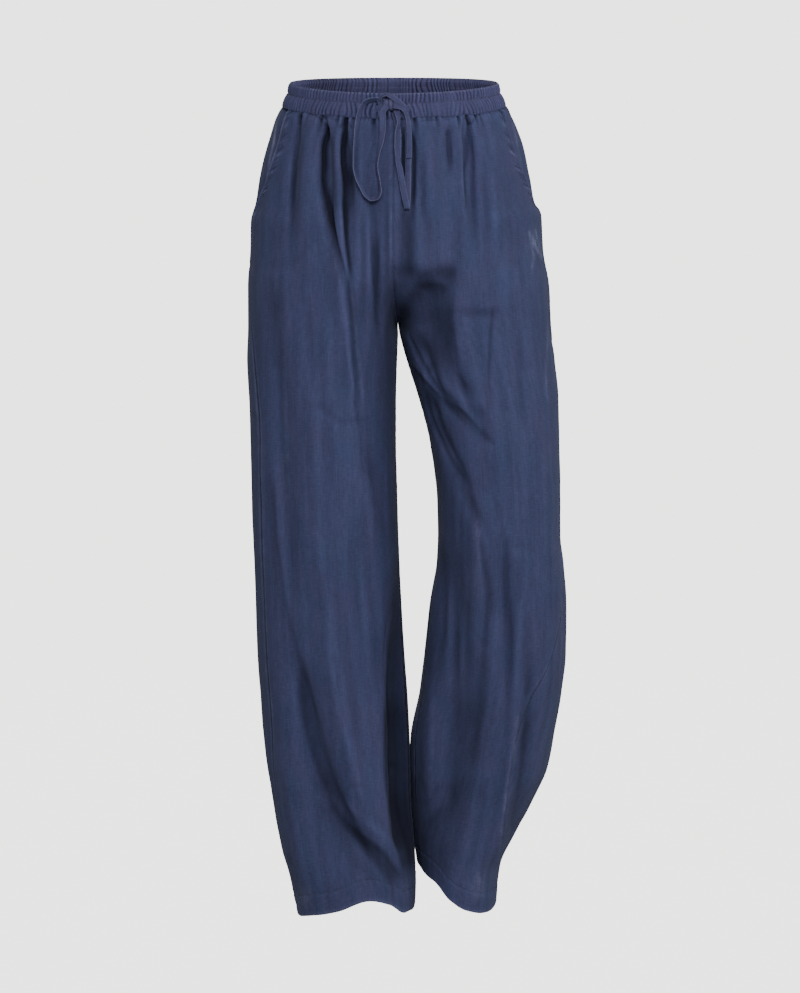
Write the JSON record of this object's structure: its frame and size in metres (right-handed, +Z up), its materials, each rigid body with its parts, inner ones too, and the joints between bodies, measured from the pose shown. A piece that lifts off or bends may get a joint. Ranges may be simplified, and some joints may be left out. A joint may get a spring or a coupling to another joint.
{
  "type": "linen drawstring trousers",
  "caption": "Wide-legged linen trousers with a gathered elastic waistband, a tied drawstring bow and slanted side pockets, standing open as worn, mid-step.",
  "frame": {"origin": "middle of the waist opening, where the wearer's waist holds the trousers up", "axes": "+Z up, the front faces -Y, +X is the wearer's left"},
  "size_m": [0.3982, 0.293, 1.0529],
  "materials": {
    "linen": "washed slub linen, plain weave, matt, dark slate blue",
    "linen_inside": "the same linen, its inner side",
    "tie_linen": "the same linen, folded and edge-stitched into a flat tie"
  },
  "bodies": {
    "root": {"front_left": "linen", "front_right": "linen", "back_left": "linen", "back_right": "linen", "waistband_front": "linen", "waistband_back": "linen", "pocket_facing_left": "linen_inside", "pocket_facing_right": "linen_inside", "pocket_bag_left": "linen_inside", "pocket_bag_right": "linen_inside", "drawstring_knot": "tie_linen", "drawstring_loop_left": "tie_linen", "drawstring_loop_right": "tie_linen", "drawstring_tail_left": "tie_linen", "drawstring_tail_right": "tie_linen", "drawstring_lead_left": "tie_linen", "drawstring_lead_right": "tie_linen"}
  },
  "joints": []
}
